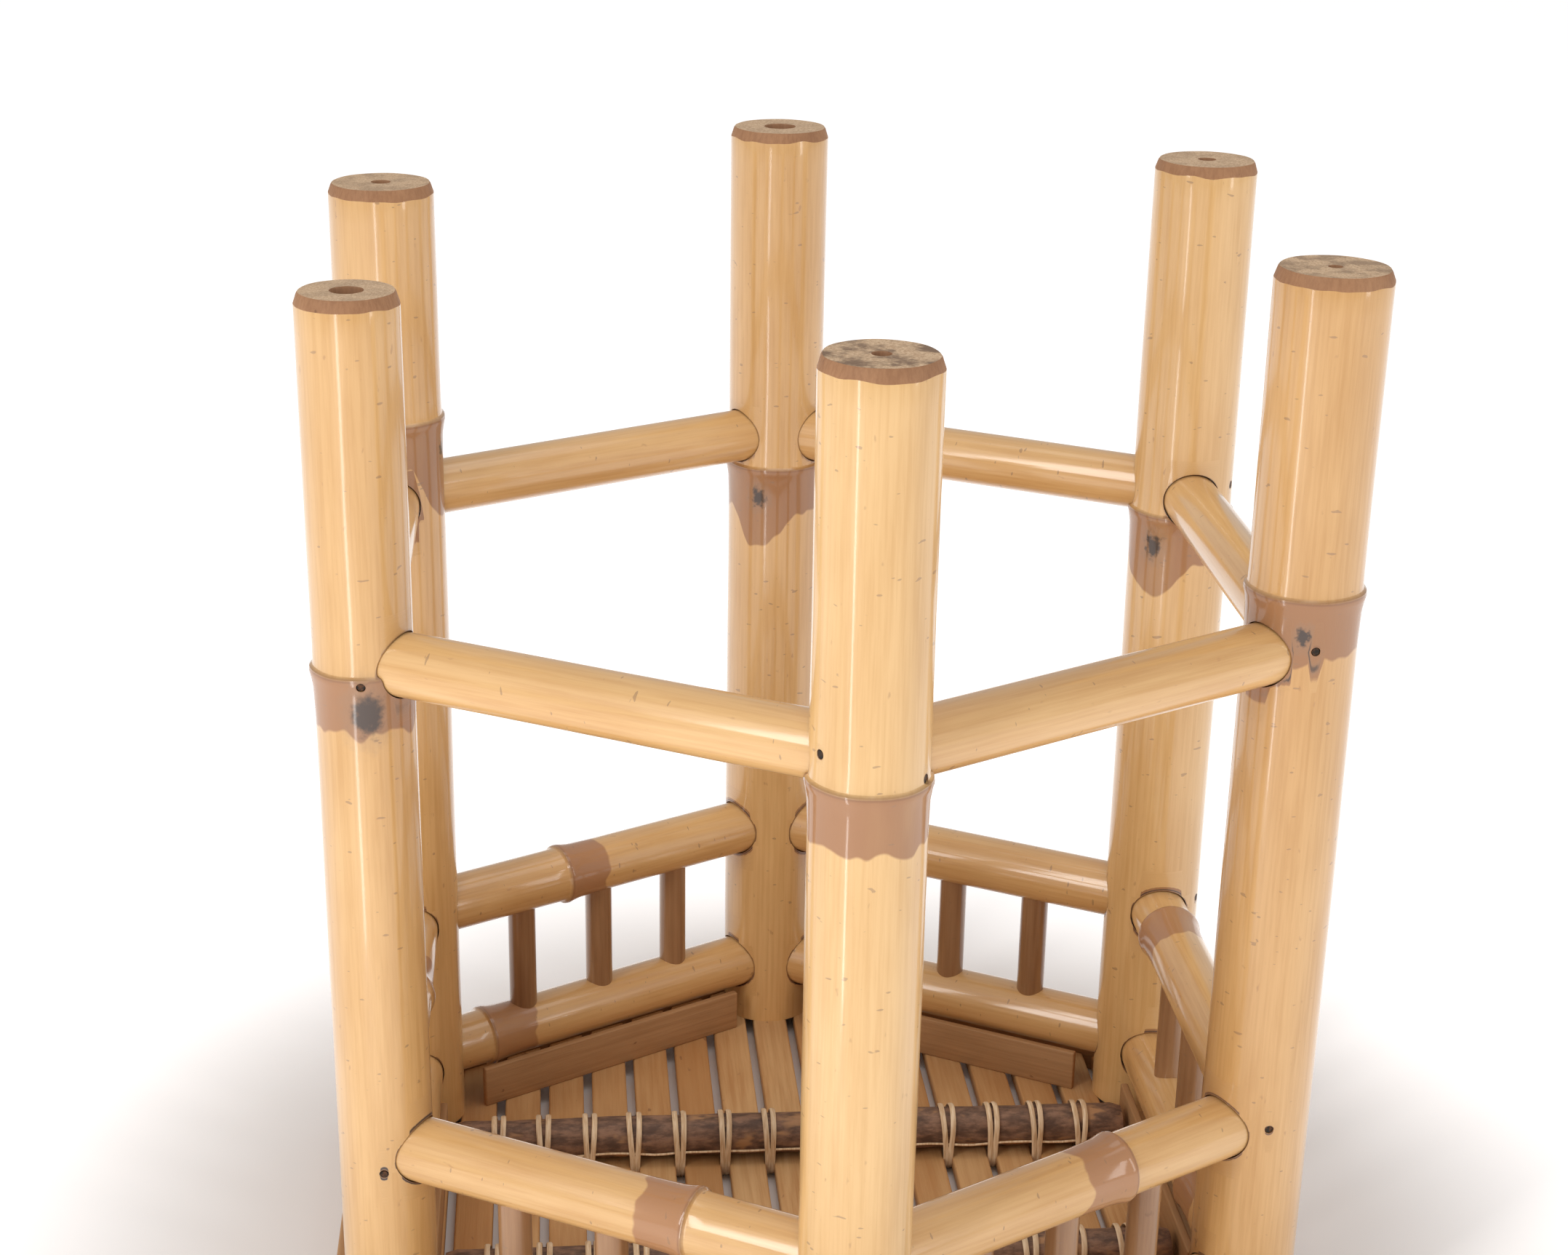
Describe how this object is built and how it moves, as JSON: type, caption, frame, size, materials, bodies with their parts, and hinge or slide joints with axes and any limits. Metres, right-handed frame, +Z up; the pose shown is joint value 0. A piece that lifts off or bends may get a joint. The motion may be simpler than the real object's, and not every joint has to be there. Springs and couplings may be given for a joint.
{
  "type": "bamboo stand",
  "caption": "Hexagonal bamboo post-and-rail stand with a spindle gallery above a deck of split slats lashed to bark-covered sticks.",
  "frame": {"origin": "centre of the deck's underside, at the bottom centre of the whole stand", "axes": "+Z up along the posts, +X along the two cross sticks, -Y toward the front post. The slatted deck is at the bottom and the free post ends point up, as the stand is placed in the picture"},
  "size_m": [0.3404, 0.393, 0.3892],
  "materials": {
    "bamboo_post": "gloss varnish over bamboo skin",
    "bamboo_rail": "gloss varnish over bamboo skin",
    "bamboo_spindle": "satin bamboo",
    "bamboo_strip": "matte split bamboo",
    "bamboo_slat": "matte split bamboo, pith side up",
    "twig_bark": "rough bark",
    "rattan": "satin rattan strip",
    "brad_steel": "dulled brads"
  },
  "bodies": {
    "root": {"cross_stick_front": "twig_bark", "cross_stick_rear": "twig_bark", "deck_rim_front_left": "bamboo_strip", "deck_rim_front_right": "bamboo_strip", "deck_rim_left": "bamboo_strip", "deck_rim_rear_left": "bamboo_strip", "deck_rim_rear_right": "bamboo_strip", "deck_rim_right": "bamboo_strip", "deck_slats": "bamboo_slat", "inner_batten_front_left": "bamboo_strip", "inner_batten_front_right": "bamboo_strip", "inner_batten_left": "bamboo_strip", "inner_batten_rear_left": "bamboo_strip", "inner_batten_rear_right": "bamboo_strip", "inner_batten_right": "bamboo_strip", "lashing_front": "rattan", "lashing_rear": "rattan", "lower_rail_front_left": "bamboo_rail", "lower_rail_front_right": "bamboo_rail", "lower_rail_left": "bamboo_rail", "lower_rail_rear_left": "bamboo_rail", "lower_rail_rear_right": "bamboo_rail", "lower_rail_right": "bamboo_rail", "middle_rail_front_left": "bamboo_rail", "middle_rail_front_right": "bamboo_rail", "middle_rail_left": "bamboo_rail", "middle_rail_rear_left": "bamboo_rail", "middle_rail_rear_right": "bamboo_rail", "middle_rail_right": "bamboo_rail", "post_front": "bamboo_post", "post_front_left": "bamboo_post", "post_front_right": "bamboo_post", "post_rear": "bamboo_post", "post_rear_left": "bamboo_post", "post_rear_right": "bamboo_post", "rail_brads": "brad_steel", "spindle_front_left_1": "bamboo_spindle", "spindle_front_left_2": "bamboo_spindle", "spindle_front_left_3": "bamboo_spindle", "spindle_front_right_1": "bamboo_spindle", "spindle_front_right_2": "bamboo_spindle", "spindle_front_right_3": "bamboo_spindle", "spindle_left_1": "bamboo_spindle", "spindle_left_2": "bamboo_spindle", "spindle_left_3": "bamboo_spindle", "spindle_rear_left_1": "bamboo_spindle", "spindle_rear_left_2": "bamboo_spindle", "spindle_rear_left_3": "bamboo_spindle", "spindle_rear_right_1": "bamboo_spindle", "spindle_rear_right_2": "bamboo_spindle", "spindle_rear_right_3": "bamboo_spindle", "spindle_right_1": "bamboo_spindle", "spindle_right_2": "bamboo_spindle", "spindle_right_3": "bamboo_spindle", "upper_rail_front_left": "bamboo_rail", "upper_rail_front_right": "bamboo_rail", "upper_rail_left": "bamboo_rail", "upper_rail_rear_left": "bamboo_rail", "upper_rail_rear_right": "bamboo_rail", "upper_rail_right": "bamboo_rail"}
  },
  "joints": []
}
